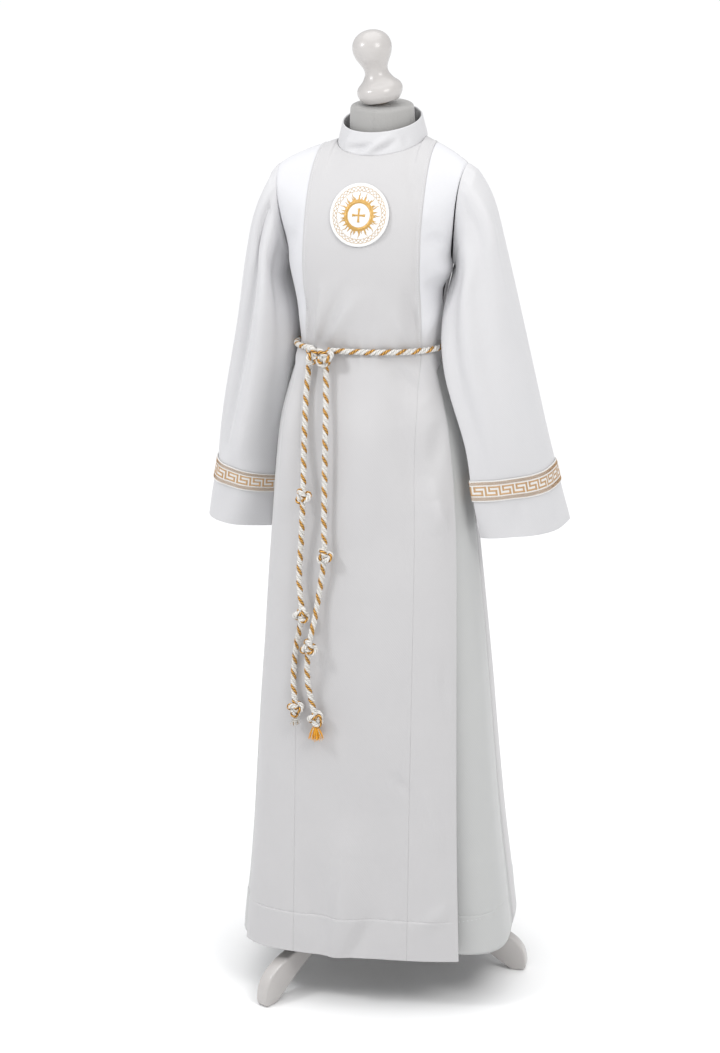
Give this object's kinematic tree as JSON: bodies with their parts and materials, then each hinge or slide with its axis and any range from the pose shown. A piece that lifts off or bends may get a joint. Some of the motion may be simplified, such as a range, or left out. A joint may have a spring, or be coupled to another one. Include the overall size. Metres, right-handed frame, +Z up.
{
  "type": "alb robe on a dress form stand",
  "caption": "Child's white alb with wide bell sleeves, cuff braid, chest badge and knotted rope cincture, shown worn on a jersey dress form with a turned finial and a wooden tripod stand.",
  "frame": {"origin": "on the floor, under the middle of the outer box of the garment and stand", "axes": "+Z up; the garment faces -Y; +X is the wearer's left"},
  "size_m": [0.5144, 0.3948, 1.2948],
  "materials": {
    "alb_cloth": "white polyester twill, soft sheen",
    "braid": "woven galloon, white ground with gold thread",
    "badge": "embroidery in white and gold thread",
    "rope": "twisted rope of two white strands and one gold strand",
    "tassel": "loose gold yarn",
    "jersey": "grey knitted jersey over foam",
    "painted_wood": "white gloss paint"
  },
  "bodies": {
    "root": {"back": "alb_cloth", "badge": "badge", "belt_knot": "rope", "belt_rope": "rope", "braid_left": "braid", "braid_right": "braid", "collar": "alb_cloth", "cord_left_1": "rope", "cord_left_2": "rope", "cord_left_3": "rope", "cord_right_1": "rope", "cord_right_2": "rope", "cord_right_3": "rope", "finial": "painted_wood", "finial_peg": "painted_wood", "form_torso": "jersey", "front_centre": "alb_cloth", "front_side_left": "alb_cloth", "front_side_right": "alb_cloth", "hub": "painted_wood", "knot_left_1": "rope", "knot_left_2": "rope", "knot_left_3": "rope", "knot_right_1": "rope", "knot_right_2": "rope", "knot_right_3": "rope", "leg_1": "painted_wood", "leg_2": "painted_wood", "leg_3": "painted_wood", "pole": "painted_wood", "side_panel_left": "alb_cloth", "side_panel_right": "alb_cloth", "sleeve_left": "alb_cloth", "sleeve_right": "alb_cloth", "tail_left": "tassel", "tail_right": "rope"}
  },
  "joints": []
}
